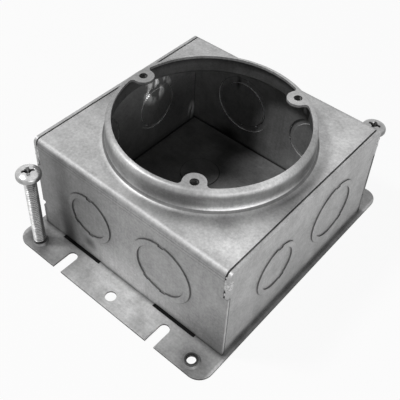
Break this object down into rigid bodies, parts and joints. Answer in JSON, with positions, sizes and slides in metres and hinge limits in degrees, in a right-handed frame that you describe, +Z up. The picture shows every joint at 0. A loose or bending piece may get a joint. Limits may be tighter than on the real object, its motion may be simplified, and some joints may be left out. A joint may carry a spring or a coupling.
{
  "type": "square electrical box",
  "caption": "Square sheet-steel electrical box with a drawn round collar and tapped ears, concentric knockouts in its walls, and a flanged base plate with levelling screws.",
  "frame": {"origin": "middle of the base plate's underside", "axes": "+Z up, the way the collar opens; +Y and -Y out past the two flanges; +X and -X out through the two end plates"},
  "size_m": [0.1252, 0.1534, 0.0717],
  "materials": {
    "galvanised_sheet": "dull galvanised sheet steel, with faint mottling",
    "galvanised_plate": "dull galvanised sheet steel, a little darker",
    "zinc_plated_steel": "bright zinc plate"
  },
  "bodies": {
    "root": {"folded_shell": "galvanised_sheet", "left_end_wall": "galvanised_sheet", "right_end_wall": "galvanised_sheet", "base_plate": "galvanised_plate", "levelling_screws": "zinc_plated_steel"}
  },
  "joints": []
}
